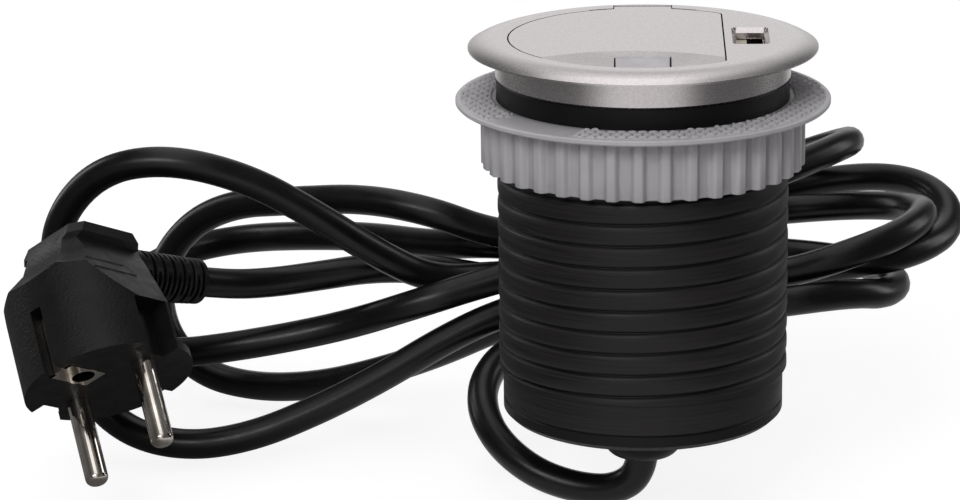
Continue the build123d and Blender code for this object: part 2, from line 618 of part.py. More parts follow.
def bend_radii(corners):
    radii = []
    for before, here, after in zip(corners, corners[1:], corners[2:]):
        shorter = min((here - before).length, (after - here).length)
        turn = (here - before).get_angle(after - here)
        radii.append(0.45 * shorter / tan(radians(turn / 2)))
    return radii


# One cord cut in three halfway along two straight runs, so the ends meet face to face
def cord_paths():
    corners = cord_corners()
    radii = bend_radii(corners)
    first_cut = (corners[EXIT_LAST] + corners[EXIT_LAST + 1]) / 2
    second_cut = (corners[HANK_LAST] + corners[HANK_LAST + 1]) / 2
    exit_run = corners[:EXIT_LAST + 1] + [first_cut]
    hank_run = [first_cut] + corners[EXIT_LAST + 1:HANK_LAST + 1] + [second_cut]
    lead_run = [second_cut] + corners[HANK_LAST + 1:]
    return {
        "cord_exit": FilletPolyline(*exit_run, radius=radii[:EXIT_LAST]),
        "cord_hank": FilletPolyline(*hank_run, radius=radii[EXIT_LAST:HANK_LAST]),
        "cord_lead": FilletPolyline(*lead_run, radius=radii[HANK_LAST:])}


def cord_tube(name):
    path = CORD_PATHS[name]
    section = Plane(origin=path @ 0, z_dir=path % 0) * RegularPolygon(CORD_R, CORD_SIDES)
    tube = sweep(section, path=path)
    expected = section.area * path.length
    print(name, "length", round(path.length, 1))
    print(name, "volume", round(tube.volume), "section x length", round(expected))
    return tube


# The least gap between two turns, on points 2 mm apart and at least four diameters along
def least_gap():
    spots = []
    for path in CORD_PATHS.values():
        count = int(path.length / 2)
        spots += [tuple(path.position_at(i / count)) for i in range(count)]
    skip = int(4 * CORD_D / 2)
    least = 1000.0
    for i, spot in enumerate(spots):
        for other in spots[i + skip:]:
            least = min(least, dist(spot, other))
    return least - CORD_D


def cord_tie():
    held = make_face(Polyline(*TIE_CORNERS, close=True))
    inner = CORD_R + TIE_GAP
    ring = offset(held, inner + TIE_T) - offset(held, inner)
    return Pos(TIE_X, 0, CORD_DROP) * extrude(Plane.YZ * ring, TIE_W / 2, both=True)


def plug_section(z, x0, x1, half_y, low_cut, high_cut):
    right = [(x0 + low_cut, -half_y), (x1 - high_cut, -half_y), (x1, -half_y + high_cut)]
    left = [(x0 + low_cut, half_y), (x0, half_y - low_cut), (x0, -half_y + low_cut)]
    corners = right + [(x1, half_y - high_cut), (x1 - high_cut, half_y)] + left
    return Pos(0, 0, z) * make_face(Polyline(*corners, close=True))


# The relief is laid along X, then leans about the plug's axis as the cord pulls it
def relief_lean(piece):
    return PLUG_FRAME * Rot(0, 0, RELIEF_LEAN) * piece


# The grip narrows to the back, and every part of it stays inside the round pin face
def plug_body():
    sections = [plug_section(*row) for row in PLUG_FORM]
    front_h = PLUG_FORM[0][0]
    body = extrude(Pos(0, 0, -front_h) * sections[0], front_h)
    for low, high in zip(sections, sections[1:]):
        body += loft([low, high], ruled=True)
    height = PLUG_FORM[-1][0]
    body = body & Pos(0, 0, height / 2) * Cylinder(PLUG_R, height)
    body += Pos(0, 0, PLUG_LIP_H / 2) * Cylinder(PLUG_LIP_R, PLUG_LIP_H)
    for side in (-1, 1):
        groove_y = side * (PLUG_GROOVE_Y + 5)
        body -= Pos(PLUG_GROOVE_X, groove_y, front_h / 2) * Box(PLUG_GROOVE_W, 10, front_h)
        slot_x = side * (PLUG_SLOT_X + 5)
        body -= Pos(slot_x, 0, PLUG_SLOT_H / 2) * Box(10, PLUG_SLOT_W, PLUG_SLOT_H)
        body -= Pos(0, side * PIN_SPACING / 2, 0) * Cylinder(PLUG_PIN_ROOT_R, 2 * PLUG_PIN_ROOT)
    inner = EARTH_PLATE_X - SEAT
    outer = PLUG_SLOT_X + STRIP_T
    plate_w = EARTH_PLATE_W + 2 * SEAT
    body -= Pos(-(outer + inner) / 2, 0, 0) * Box(outer - inner, plate_w, 2 * STRIP_T)
    sleeve_r = EARTH_HOLE_R + STRIP_T + FIT
    body -= Pos(-EARTH_HOLE_X, 0, 0) * Cylinder(sleeve_r, 2 * (EARTH_TUBE_L + SEAT))
    reach = RELIEF_END - RELIEF_START
    hole = Location((RELIEF_END, 0, RELIEF_H), (0, 90, 0)) * Cylinder(RELIEF_R, 2 * reach)
    return PLUG_FRAME * body - relief_lean(hole)


def plug_pins():
    pins = []
    for side in (-1, 1):
        pin = Pos(0, 0, -PLUG_PIN_L / 2) * Cylinder(PLUG_PIN_D / 2, PLUG_PIN_L)
        pin = fillet(pin.edges().sort_by(Axis.Z)[0], 1.6)
        pin += Pos(0, 0, PLUG_PIN_ROOT / 2) * Cylinder(PLUG_PIN_ROOT_R, PLUG_PIN_ROOT)
        pins.append(PLUG_FRAME * Pos(0, side * PIN_SPACING / 2, 0) * pin)
    return Compound(pins)


def plug_earth_strips():
    strips = []
    for side in (-1, 1):
        x = side * (PLUG_SLOT_X + STRIP_T / 2)
        strip = Pos(x, 0, PLUG_STRIP_L / 2) * Box(STRIP_T, PLUG_STRIP_W, PLUG_STRIP_L)
        strips.append(PLUG_FRAME * strip)
    return Compound(strips)


# A plate on the pin face reaches in from one strip and carries the earth pin's sleeve
def plug_earth_socket():
    plate_x = -(PLUG_SLOT_X + EARTH_PLATE_X) / 2
    plate_l = PLUG_SLOT_X - EARTH_PLATE_X
    plate = Pos(plate_x, 0, STRIP_T / 2) * Box(plate_l, EARTH_PLATE_W, STRIP_T)
    tube = Pos(-EARTH_HOLE_X, 0, EARTH_TUBE_L / 2) * Cylinder(EARTH_HOLE_R + STRIP_T, EARTH_TUBE_L)
    bore = Pos(-EARTH_HOLE_X, 0, 0) * Cylinder(EARTH_HOLE_R, 3 * EARTH_TUBE_L)
    return PLUG_FRAME * (plate + tube - bore)


def relief_rod(x0, x1, radius):
    return Location(((x0 + x1) / 2, 0, RELIEF_H), (0, 90, 0)) * Cylinder(radius, x1 - x0)


def plug_relief():
    body = relief_rod(RELIEF_START, RELIEF_END, CORD_R + 1.0)
    body += relief_rod(RELIEF_START, RELIEF_RIB_X, RELIEF_R)
    pitch = (RELIEF_END - RELIEF_RIB_X) / RELIEF_RIBS
    for rib in range(RELIEF_RIBS):
        x = RELIEF_RIB_X + pitch * (rib + 0.38)
        body += relief_rod(x, x + pitch * 0.62, RELIEF_R - 0.12 * rib)
    return relief_lean(body)


NODES = {
    "rim_bezel": rim_bezel,
    "lid": lid,
    "hinge_pin": hinge_pin,
    "latch_button": latch_button,
    "latch_spring": latch_spring,
    "socket_insert": socket_insert,
    "earth_bracket": earth_bracket,
    "live_contact": lambda: contact_sleeve(-1),
    "neutral_contact": lambda: contact_sleeve(1),
    "child_shutter": child_shutter,
    "shutter_spring": shutter_spring,
    "contact_carrier": contact_carrier,
    "terminal_block": terminal_block,
    "terminal_screws": terminal_screws,
    "usb_shell": usb_shell,
    "usb_tongue": usb_tongue,
    "usb_board": usb_board,
    "usb_transformer": usb_transformer,
    "usb_capacitors": usb_capacitors,
    "threaded_barrel": threaded_barrel,
    "clamp_washer": clamp_washer,
    "clamp_nut": clamp_nut,
    "bottom_cap": bottom_cap,
    "cap_screws": cap_screws,
    "cable_gland": cable_gland,
    "gland_nut": gland_nut,
    "cord_clamp": cord_clamp,
    "cord_exit": lambda: cord_tube("cord_exit"),
    "cord_hank": lambda: cord_tube("cord_hank"),
    "cord_lead": lambda: cord_tube("cord_lead"),
    "cord_tie": cord_tie,
    "plug_body": plug_body,
    "plug_pins": plug_pins,
    "plug_earth_strips": plug_earth_strips,
    "plug_earth_socket": plug_earth_socket,
    "plug_relief": plug_relief,
}

CORD_PATHS = cord_paths()
os.makedirs("parts", exist_ok=True)
for node, make in NODES.items():
    export_step(make(), f"parts/{node}.step")
print("bend radii", [round(radius, 1) for radius in bend_radii(cord_corners())])
print("cord least gap", round(least_gap(), 2))
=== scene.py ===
import bpy
import json
import math
from mathutils import Matrix, Vector

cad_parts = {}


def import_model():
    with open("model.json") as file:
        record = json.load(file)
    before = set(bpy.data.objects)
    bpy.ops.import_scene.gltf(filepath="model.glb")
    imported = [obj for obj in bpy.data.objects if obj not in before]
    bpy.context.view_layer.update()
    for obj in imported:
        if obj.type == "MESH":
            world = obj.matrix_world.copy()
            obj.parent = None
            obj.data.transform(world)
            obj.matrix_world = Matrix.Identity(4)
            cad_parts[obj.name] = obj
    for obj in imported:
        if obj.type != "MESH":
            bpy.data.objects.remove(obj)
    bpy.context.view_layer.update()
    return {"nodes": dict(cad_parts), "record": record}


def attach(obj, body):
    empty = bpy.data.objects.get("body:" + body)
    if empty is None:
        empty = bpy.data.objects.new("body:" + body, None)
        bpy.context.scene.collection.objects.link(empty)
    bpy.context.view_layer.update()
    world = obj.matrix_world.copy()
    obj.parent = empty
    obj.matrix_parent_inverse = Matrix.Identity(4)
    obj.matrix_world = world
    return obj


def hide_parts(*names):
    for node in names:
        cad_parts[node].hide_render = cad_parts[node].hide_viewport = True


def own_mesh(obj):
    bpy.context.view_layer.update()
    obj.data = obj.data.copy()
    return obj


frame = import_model()
NODES = frame["nodes"]
MM = 0.001

# Camera, fitted to the photograph
CAM_Y = -0.66109
CAM_Z = 0.15074
PITCH = math.radians(16.29)
FOCAL_PX = 3380.0
LENS_SCALE = 1.0012
AXIS_PX = 642.5
WIDTH_PX = 960.0


def make_camera():
    forward = Vector((0, math.cos(PITCH), -math.sin(PITCH)))
    up = Vector((0, math.sin(PITCH), math.cos(PITCH)))
    aim = (forward * FOCAL_PX + Vector((1, 0, 0)) * (WIDTH_PX / 2 - AXIS_PX)).normalized()
    right = aim.cross(up).normalized()
    up = right.cross(aim).normalized()
    data = bpy.data.cameras.new("camera")
    data.sensor_width = 36.0
    data.lens = FOCAL_PX * LENS_SCALE / WIDTH_PX * data.sensor_width
    data.clip_start = 0.05
    camera = bpy.data.objects.new("camera", data)
    turn = Matrix((right, up, -aim)).transposed().to_4x4()
    camera.matrix_world = Matrix.Translation((0, CAM_Y, CAM_Z)) @ turn
    bpy.context.scene.collection.objects.link(camera)
    bpy.context.scene.camera = camera


make_camera()


# Materials: most of a noise lies between these two values
NOISE_LOW = 0.3
NOISE_HIGH = 0.7


class Shader:
    """A Principled material whose colour, roughness and bump are built from noise."""

    def __init__(self, name, color, rough, metallic=0.0, specular=0.5):
        self.material = bpy.data.materials.new(name)
        self.material.use_nodes = True
        self.tree = self.material.node_tree
        self.main = self.tree.nodes["Principled BSDF"]
        self.main.inputs["Base Color"].default_value = (*color, 1)
        self.main.inputs["Roughness"].default_value = rough
        self.main.inputs["Metallic"].default_value = metallic
        self.main.inputs["Specular IOR Level"].default_value = specular
        self.coords = self.tree.nodes.new("ShaderNodeTexCoord")
        self.normal = None
        self.color = None

    def node(self, kind, **values):
        node = self.tree.nodes.new(kind)
        for key, value in values.items():
            setattr(node, key, value)
        return node

    def link(self, a, b):
        self.tree.links.new(a, b)

    def noise(self, scale, detail, stretch=(1, 1, 1)):
        mapping = self.node("ShaderNodeMapping")
        mapping.inputs["Scale"].default_value = stretch
        noise = self.node("ShaderNodeTexNoise")
        noise.inputs["Scale"].default_value = scale
        noise.inputs["Detail"].default_value = detail
        self.link(self.coords.outputs["Object"], mapping.inputs["Vector"])
        self.link(mapping.outputs["Vector"], noise.inputs["Vector"])
        return noise.outputs["Fac"]

    def cells(self, scale):
        cells = self.node("ShaderNodeTexVoronoi")
        cells.inputs["Scale"].default_value = scale
        self.link(self.coords.outputs["Object"], cells.inputs["Vector"])
        return cells.outputs["Distance"]

    def ramp(self, source, low, high):
        ramp = self.node("ShaderNodeMapRange")
        ramp.inputs["To Min"].default_value = low
        ramp.inputs["To Max"].default_value = high
        ramp.inputs["From Min"].default_value = NOISE_LOW
        ramp.inputs["From Max"].default_value = NOISE_HIGH
        self.link(source, ramp.inputs["Value"])
        return ramp.outputs["Result"]

    def vary_rough(self, source, low, high):
        self.link(self.ramp(source, low, high), self.main.inputs["Roughness"])

    def vary_color(self, source, dark, light):
        mix = self.node("ShaderNodeMix", data_type="RGBA")
        mix.inputs[6].default_value = (*dark, 1)
        mix.inputs[7].default_value = (*light, 1)
        self.link(self.ramp(source, 0, 1), mix.inputs[0])
        self.color = mix.outputs[2]
        self.link(self.color, self.main.inputs["Base Color"])

    def paint_gap_shade(self, reach, low, high, shade):
        """Painted shade: deepens the colour in gaps and corners, where the share of open space is under
        high.
        """
        near = self.node("ShaderNodeAmbientOcclusion", samples=8)
        near.inputs["Distance"].default_value = reach
        ramp = self.node("ShaderNodeMapRange")
        ramp.inputs["From Min"].default_value = low
        ramp.inputs["From Max"].default_value = high
        ramp.inputs["To Min"].default_value = shade
        self.link(near.outputs["AO"], ramp.inputs["Value"])
        mix = self.node("ShaderNodeMix", data_type="RGBA", blend_type="MULTIPLY")
        mix.inputs[0].default_value = 1.0
        self.link(self.color, mix.inputs[6])
        self.link(ramp.outputs["Result"], mix.inputs[7])
        self.color = mix.outputs[2]
        self.link(self.color, self.main.inputs["Base Color"])

    def bump(self, source, depth, strength):
        bump = self.node("ShaderNodeBump")
        bump.inputs["Strength"].default_value = strength
        bump.inputs["Distance"].default_value = depth
        self.link(source, bump.inputs["Height"])
        if self.normal:
            self.link(self.normal, bump.inputs["Normal"])
        self.normal = bump.outputs["Normal"]
        self.link(self.normal, self.main.inputs["Normal"])


# Blasted metal with a very fine grain, and painted shade in its gaps and corners
def satin_metal():
    s = Shader("satin_metal", (0.65, 0.61, 0.615), 0.3, metallic=1.0)
    s.vary_color(s.noise(1500, 2), (0.61, 0.57, 0.575), (0.68, 0.64, 0.645))
    s.vary_rough(s.noise(2400, 2), 0.24, 0.3)
    s.bump(s.noise(2600, 2), 0.00002, 0.12)
    s.paint_gap_shade(0.0012, 0.25, 0.62, 0.08)
    return s.material


# Moulded plastic, whose grain is a depth in metres
def moulded(name, color, rough, specular, grain):
    s = Shader(name, color, rough, specular=specular)
    s.vary_color(s.noise(160, 3), tuple(0.85 * c for c in color), tuple(1.2 * c for c in color))
    s.vary_rough(s.noise(500, 3), rough - 0.04, rough + 0.08)
    s.bump(s.noise(1800, 2), grain, 0.3)
    return s.material


# Black plastic with the fine level streaks that turning leaves, and painted shade in its gaps
def turned_plastic():
    s = Shader("turned_plastic", (0.012, 0.0103, 0.0117), 0.5, specular=0.3)
    streaks = s.noise(60, 4, (1, 1, 45))
    s.vary_color(streaks, (0.0072, 0.0062, 0.007), (0.021, 0.018, 0.0205))
    s.paint_gap_shade(0.0016, 0.3, 0.8, 0.15)
    s.vary_rough(streaks, 0.42, 0.62)
    s.bump(streaks, 0.0001, 0.4)
    s.bump(s.noise(1600, 2), 0.00003, 0.3)
    return s.material


# The cord's smooth sheath
def black_pvc():
    s = Shader("black_pvc", (0.0062, 0.0058, 0.006), 0.3, specular=0.3)
    s.vary_rough(s.noise(260, 4), 0.26, 0.36)
    s.vary_color(s.noise(90, 3), (0.0052, 0.0048, 0.005), (0.0085, 0.0078, 0.0078))
    s.bump(s.noise(420, 3), 0.00005, 0.25)
    return s.material


# The plug's skin has a fine pebbled grain, and painted shade in its gaps
def grained_pvc():
    s = Shader("grained_pvc", (0.007, 0.0066, 0.0068), 0.44, specular=0.24)
    s.vary_rough(s.noise(300, 4), 0.38, 0.52)
    s.vary_color(s.noise(120, 3), (0.0058, 0.0053, 0.0055), (0.0095, 0.0087, 0.0087))
    s.paint_gap_shade(0.0015, 0.3, 0.8, 0.2)
    s.bump(s.cells(1700), 0.0001, 0.45)
    s.bump(s.noise(500, 3), 0.00005, 0.2)
    return s.material


# Plated metal with faint streaks along the pins, and painted shade in its gaps and corners
def nickel():
    s = Shader("nickel", (0.62, 0.57, 0.52), 0.12, metallic=1.0)
    s.vary_rough(s.noise(700, 3), 0.05, 0.15)
    s.vary_color(s.noise(260, 3, (1, 1, 0.3)), (0.45, 0.4, 0.35), (0.8, 0.75, 0.69))
    s.paint_gap_shade(0.0012, 0.25, 0.7, 0.1)
    s.bump(s.noise(900, 3), 0.00002, 0.2)
    return s.material


# The clamp parts' plastic, with painted shade in the flutes and between the scales
def grey_plastic():
    s = Shader("grey_plastic", (0.66, 0.64, 0.67), 0.4, specular=0.5)
    s.vary_color(s.noise(140, 3), (0.63, 0.61, 0.64), (0.69, 0.67, 0.7))
    s.paint_gap_shade(0.0022, 0.4, 0.95, 0.35)
    s.vary_rough(s.noise(600, 3), 0.38, 0.52)
    s.bump(s.noise(1500, 2), 0.00003, 0.25)
    return s.material


def pale_plastic():
    s = Shader("pale_plastic", (0.62, 0.58, 0.46), 0.45)
    s.vary_color(s.noise(150, 3), (0.58, 0.54, 0.43), (0.66, 0.62, 0.5))
    s.vary_rough(s.noise(600, 3), 0.4, 0.52)
    return s.material


# Small and inner pieces, with a little change of colour and gloss
def plain(name, color, rough, metallic=0.0):
    s = Shader(name, color, rough, metallic)
    s.vary_color(s.noise(180, 3), tuple(0.88 * c for c in color), tuple(1.08 * c for c in color))
    s.vary_rough(s.noise(500, 3), rough, rough + 0.1)
    return s.material


MATERIALS = {
    "satin_metal": satin_metal(),
    "button_plastic": plain("button_plastic", (0.68, 0.65, 0.68), 0.3),
    "spring_steel": plain("spring_steel", (0.5, 0.5, 0.5), 0.3, 1.0),
    "black_plastic": moulded("black_plastic", (0.006, 0.0056, 0.0062), 0.45, 0.2, 0.00004),
    "grey_plastic": grey_plastic(),
    "pale_plastic": pale_plastic(),
    "brass": plain("brass", (0.72, 0.55, 0.26), 0.28, 1.0),
    "nickel": nickel(),
    "board": plain("board", (0.02, 0.12, 0.05), 0.4),
    "core": plain("core", (0.6, 0.45, 0.08), 0.45),
    "can": plain("can", (0.4, 0.4, 0.42), 0.35, 1.0),
    "black_pvc": black_pvc(),
}
TURNED_PLASTIC = turned_plastic()
GRAINED_PVC = grained_pvc()


def dress(obj, slot, material=None):
    obj.data.materials.clear()
    obj.data.materials.append(material or MATERIALS[slot])


SLOT_OF = {row["node"]: row["material_slot"] for row in frame["record"]["subparts"]}
BODY_OF = {}
for body, members in frame["record"]["behaviour"]["bodies"].items():
    for member in members:
        BODY_OF[member] = body
for node_name, node_object in NODES.items():
    dress(node_object, SLOT_OF[node_name])


# Mesh helpers
WELD_REACH = 0.000005
JOIN_ANGLE = math.radians(1)
EDGE_ANGLE = math.radians(30)
EDGE_SEGMENTS = 2
LATHE_STEPS = 192


def sharpen(obj, degrees):
    """Smooth shading, with edges kept sharp where they turn by more than these degrees."""
    bpy.context.view_layer.objects.active = obj
    obj.select_set(True)
    bpy.ops.object.shade_smooth_by_angle(angle=math.radians(degrees))
    obj.select_set(False)


def add_mesh(name, verts, faces, node, degrees=35, material=None):
    """A new piece in millimetres that takes the place, body and slot of a CAD node."""
    mesh = bpy.data.meshes.new(name)
    mesh.from_pydata([tuple(c * MM for c in vert) for vert in verts], [], faces)
    mesh.validate()
    obj = bpy.data.objects.new(name, mesh)
    bpy.context.scene.collection.objects.link(obj)
    dress(obj, SLOT_OF[node], material)
    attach(obj, BODY_OF[node])
    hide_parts(node)
    sharpen(obj, degrees)
    return obj


def tube_faces(rings, count, close_rings=False):
    """Quads between rings of count points, listed ring after ring."""
    faces = []
    for i in range(rings if close_rings else rings - 1):
        here = i * count
        after = (i + 1) % rings * count
        for j in range(count):
            k = (j + 1) % count
            faces.append((here + j, after + j, after + k, here + k))
    return faces


def lathe(name, profile, node, material=None):
    """A profile of radius and height turned about the barrel's axis."""
    verts = []
    for i in range(LATHE_STEPS):
        angle = 2 * math.pi * i / LATHE_STEPS
        verts += [(r * math.cos(angle), r * math.sin(angle), z) for r, z in profile]
    faces = tube_faces(LATHE_STEPS, len(profile), close_rings=True)
    return add_mesh(name, verts, faces, node, material=material)


def soften(node, width, material=None, cutter=None, crease=40):
    """A copy of a CAD node, less a cutter if one is given, with flat faces joined and edges rounded."""
    mesh = NODES[node].data.copy()
    mesh.name = node + "_form"
    obj = bpy.data.objects.new(node + "_form", mesh)
    bpy.context.scene.collection.objects.link(obj)
    weld = obj.modifiers.new("weld", "WELD")
    weld.merge_threshold = WELD_REACH
    names = ["weld", "join", "bevel"]
    if cutter:
        cut = obj.modifiers.new("cut", "BOOLEAN")
        cut.operation = "DIFFERENCE"
        cut.solver = "EXACT"
        cut.object = cutter
        names.insert(1, "cut")
    join = obj.modifiers.new("join", "DECIMATE")
    join.decimate_type = "DISSOLVE"
    join.angle_limit = JOIN_ANGLE
    bevel = obj.modifiers.new("bevel", "BEVEL")
    bevel.width = width * MM
    bevel.segments = EDGE_SEGMENTS
    bevel.limit_method = "ANGLE"
    bevel.angle_limit = EDGE_ANGLE
    bpy.context.view_layer.objects.active = obj
    obj.select_set(True)
    for name in names:
        bpy.ops.object.modifier_apply(modifier=name)
    obj.select_set(False)
    if cutter:
        bpy.data.meshes.remove(cutter.data)
    dress(obj, SLOT_OF[node], material)
    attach(obj, BODY_OF[node])
    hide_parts(node)
    sharpen(obj, crease)
    bpy.context.view_layer.objects.active = obj
    obj.select_set(True)
    even = obj.modifiers.new("even", "WEIGHTED_NORMAL")
    even.keep_sharp = True
    bpy.ops.object.modifier_apply(modifier="even")
    obj.select_set(False)
    return obj


def smooth(share):
    """0 up to share 0, 1 from share 1, and a soft step between."""
    share = min(1.0, max(0.0, share))
    return share * share * (3 - 2 * share)


# Plug: its axis points back from the pin face, its side axis towards the cord
PLUG_AT = (-110.1, -0.83, -70.75)
PLUG_SIDE = (0.5621, 0.7266, -0.3947)
PLUG_BACK = (-0.2865, 0.6188, 0.7314)
RELIEF_LEAN = math.radians(-11.7)
RELIEF_H = 26.3
RELIEF_START = 11.0
RELIEF_PLAIN_X = 13.0
RELIEF_END = 30.0
RELIEF_R = 5.6
RELIEF_END_R = 4.9
RELIEF_SIDES = 48
RELIEF_STATIONS = 170
RELIEF_SLOTS = 12
SLOT_PITCH = 1.35
FIRST_SLOT = 0.6
SLOT_W = 0.6
SLOT_DEPTH = 0.9
SLOT_BLEND = 0.2
BRIDGE_HALF = math.radians(20)
BRIDGE_BLEND = 0.2
# The two fine lines on the grip: X from, X to, height and half width of the grip there
GRIP_LINES = [(-11.6, 0.8, 18.7, 12.95), (-12.0, -0.9, 21.5, 11.43)]
GRIP_SLOPE = 0.54
LINE_HALF = 0.26
LINE_H = 0.2
LINE_SINK = 0.1
PLUG_EDGE = 0.22


def plug_place():
    back = Vector(PLUG_BACK).normalized()
    side = Vector(PLUG_SIDE)
    side = (side - back * side.dot(back)).normalized()
    turn = Matrix((side, back.cross(side), back)).transposed().to_4x4()
    return Matrix.Translation(PLUG_AT) @ turn


PLUG_PLACE = plug_place()


# Each slot runs round the relief but for two bridges, a quarter turn on from the last slot's
def relief_radius(x, angle):
    taper = max(0.0, (x - RELIEF_PLAIN_X) / (RELIEF_END - RELIEF_PLAIN_X))
    radius = RELIEF_R + (RELIEF_END_R - RELIEF_R) * taper
    for slot in range(RELIEF_SLOTS):
        middle = RELIEF_PLAIN_X + SLOT_PITCH * (slot + FIRST_SLOT)
        inside = smooth((SLOT_W / 2 + SLOT_BLEND / 2 - abs(x - middle)) / SLOT_BLEND)
        if inside > 0:
            turn = angle + slot % 2 * math.pi / 2
            off = abs(math.asin(math.sin(turn)))
            bridge = smooth((BRIDGE_HALF + BRIDGE_BLEND / 2 - off) / BRIDGE_BLEND)
            radius -= SLOT_DEPTH * inside * (1 - bridge)
    return radius


def relief():
    count = RELIEF_SIDES
    stations = RELIEF_STATIONS
    lean = Matrix.Rotation(RELIEF_LEAN, 4, "Z")
    verts = []
    for i in range(stations + 1):
        x = RELIEF_START + (RELIEF_END - RELIEF_START) * i / stations
        for j in range(count):
            angle = 2 * math.pi * j / count
            r = relief_radius(x, angle)
            spot = Vector((x, r * math.cos(angle), RELIEF_H + r * math.sin(angle)))
            verts.append(PLUG_PLACE @ lean @ spot)
    faces = tube_faces(stations + 1, count)
    faces.append(tuple(range(count)))
    faces.append(tuple(reversed(range(stations * count, (stations + 1) * count))))
    return add_mesh("relief_form", verts, faces, "plug_relief", degrees=40, material=GRAINED_PVC)


def grip_line(name, x0, x1, height, half):
    along = Vector((0, GRIP_SLOPE, 1)).normalized()
    out = Vector((0, -1, GRIP_SLOPE)).normalized()
    sunk = LINE_SINK * out
    section = [-LINE_HALF * along - sunk, LINE_H * out, LINE_HALF * along - sunk]
    verts = []
    for x in (x0, x1):
        verts += [PLUG_PLACE @ (Vector((x, -half, height)) + offset) for offset in section]
    faces = tube_faces(2, 3) + [(0, 1, 2), (5, 4, 3)]
    return add_mesh(name, verts, faces, "plug_body", degrees=20, material=GRAINED_PVC)


def plug():
    pieces = [soften("plug_body", PLUG_EDGE, material=GRAINED_PVC), relief()]
    for i, line in enumerate(GRIP_LINES):
        pieces.append(grip_line(f"grip_line_{i + 1}", *line))
    return pieces


# Cord: the listed points of its route from gland to plug
CORD_D = 6.6
CORD_ROUTE = [
    (0.0, 0.0, -84.1), (0.0, 0.0, -90.0), (-5.3, 1.2, -94.8), (-14.1, 4.4, -95.5),
    (-23.6, 7.1, -92.8), (-31.6, 13.7, -87.7), (-34.9, 23.6, -82.4), (-32.6, 34.0, -78.2),
    (-25.5, 42.4, -75.5), (-19.1, 46.4, -74.4), (-6.0, 50.8, -75.0), (13.2, 46.9, -70.6),
    (32.6, 43.9, -66.7), (46.7, 50.9, -67.1), (53.4, 58.1, -69.7), (57.8, 70.6, -70.9),
    (53.8, 83.2, -70.7), (43.2, 91.2, -70.6), (26.1, 92.8, -69.6), (9.6, 81.0, -67.7),
    (-3.6, 65.7, -65.4), (-19.6, 53.1, -63.1), (-33.1, 51.5, -63.6), (-46.6, 48.4, -63.3),
    (-58.1, 42.4, -55.4), (-70.0, 36.3, -45.4), (-84.1, 32.6, -36.0), (-100.5, 30.0, -31.0),
    (-115.1, 32.3, -33.8), (-125.1, 35.1, -44.2), (-127.7, 37.4, -56.9), (-126.9, 38.1, -70.5),
    (-122.3, 34.8, -83.6), (-112.6, 29.7, -92.1), (-99.0, 25.8, -94.4), (-84.5, 26.3, -92.3),
    (-69.5, 30.1, -87.0), (-56.0, 34.5, -81.0), (-43.0, 39.3, -74.2), (-31.8, 42.3, -69.5),
    (-19.9, 45.2, -66.7), (-5.2, 47.8, -64.9), (12.9, 50.2, -63.8), (30.4, 51.7, -63.4),
    (45.5, 52.5, -58.7), (57.9, 60.0, -55.9), (63.8, 73.7, -55.0), (60.9, 88.0, -57.8),
    (49.5, 97.5, -60.0), (29.4, 98.8, -61.8), (13.7, 84.5, -60.5), (-1.5, 69.3, -58.0),
    (-18.4, 55.3, -56.3), (-33.5, 54.5, -54.5), (-46.9, 52.5, -48.7), (-62.0, 58.2, -47.5),
    (-78.0, 64.4, -49.8), (-93.2, 72.2, -52.7), (-104.3, 75.8, -59.6), (-111.0, 75.9, -70.8),
    (-109.4, 72.8, -83.8), (-100.3, 68.8, -92.0), (-87.8, 65.7, -94.2), (-73.0, 57.9, -91.2),
    (-59.0, 54.3, -86.8), (-45.5, 52.9, -81.8), (-33.1, 52.0, -75.9), (-20.2, 52.0, -70.3),
    (-5.4, 58.2, -70.9), (12.9, 62.1, -68.1), (30.9, 64.5, -67.1), (46.3, 61.5, -63.8),
    (59.7, 66.7, -62.9), (69.7, 81.3, -62.0), (70.1, 95.2, -58.2), (61.9, 106.9, -56.1),
    (48.3, 111.8, -57.0), (28.2, 106.6, -59.7), (11.5, 93.0, -60.9), (-3.3, 77.2, -61.4),
    (-19.3, 62.3, -60.3), (-33.2, 60.0, -58.3), (-46.5, 65.1, -60.3), (-61.0, 71.0, -60.0),
    (-77.3, 80.2, -62.4), (-92.9, 91.9, -66.4), (-106.2, 92.7, -69.3), (-117.3, 86.0, -73.3),
    (-122.3, 73.9, -77.3), (-119.5, 60.8, -80.0), (-106.9, 47.4, -80.7), (-87.3, 45.8, -77.7),
    (-66.1, 47.4, -73.9), (-49.8, 40.1, -66.6), (-35.5, 43.5, -62.8), (-20.1, 45.8, -59.2),
    (-4.7, 49.1, -56.7), (11.0, 55.7, -49.9), (25.1, 62.8, -44.7), (36.9, 72.8, -42.9),
    (45.4, 82.7, -41.8), (48.4, 96.1, -44.0), (43.0, 108.2, -48.6), (28.9, 116.5, -55.8),
    (11.3, 111.5, -63.2), (1.0, 93.4, -65.7), (-10.4, 74.7, -67.9), (-19.6, 64.5, -67.9),
    (-28.7, 60.7, -67.8), (-46.0, 55.9, -63.2), (-59.5, 52.9, -61.9), (-72.6, 49.6, -63.1),
    (-81.8, 46.1, -63.4), (-90.0, 40.8, -62.2), (-96.4, 35.0, -59.7),
]
CORD_ORDER = 3
CORD_STEPS = 10
CORD_ROUNDNESS = 6


def make_cord(pieces):
    curve = bpy.data.curves.new("cord", "CURVE")
    curve.dimensions = "3D"
    spline = curve.splines.new("NURBS")
    spline.points.add(len(CORD_ROUTE) - 1)
    for point, spot in zip(spline.points, CORD_ROUTE):
        point.co = (spot[0] * MM, spot[1] * MM, spot[2] * MM, 1)
    spline.order_u = CORD_ORDER
    spline.use_endpoint_u = True
    spline.resolution_u = CORD_STEPS
    curve.bevel_depth = CORD_D / 2 * MM
    curve.bevel_resolution = CORD_ROUNDNESS
    cord = bpy.data.objects.new("cord", curve)
    bpy.context.scene.collection.objects.link(cord)
    dress(cord, "black_pvc")
    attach(cord, "housing")
    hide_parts("cord_exit", "cord_hank", "cord_lead")


make_cord(plug())

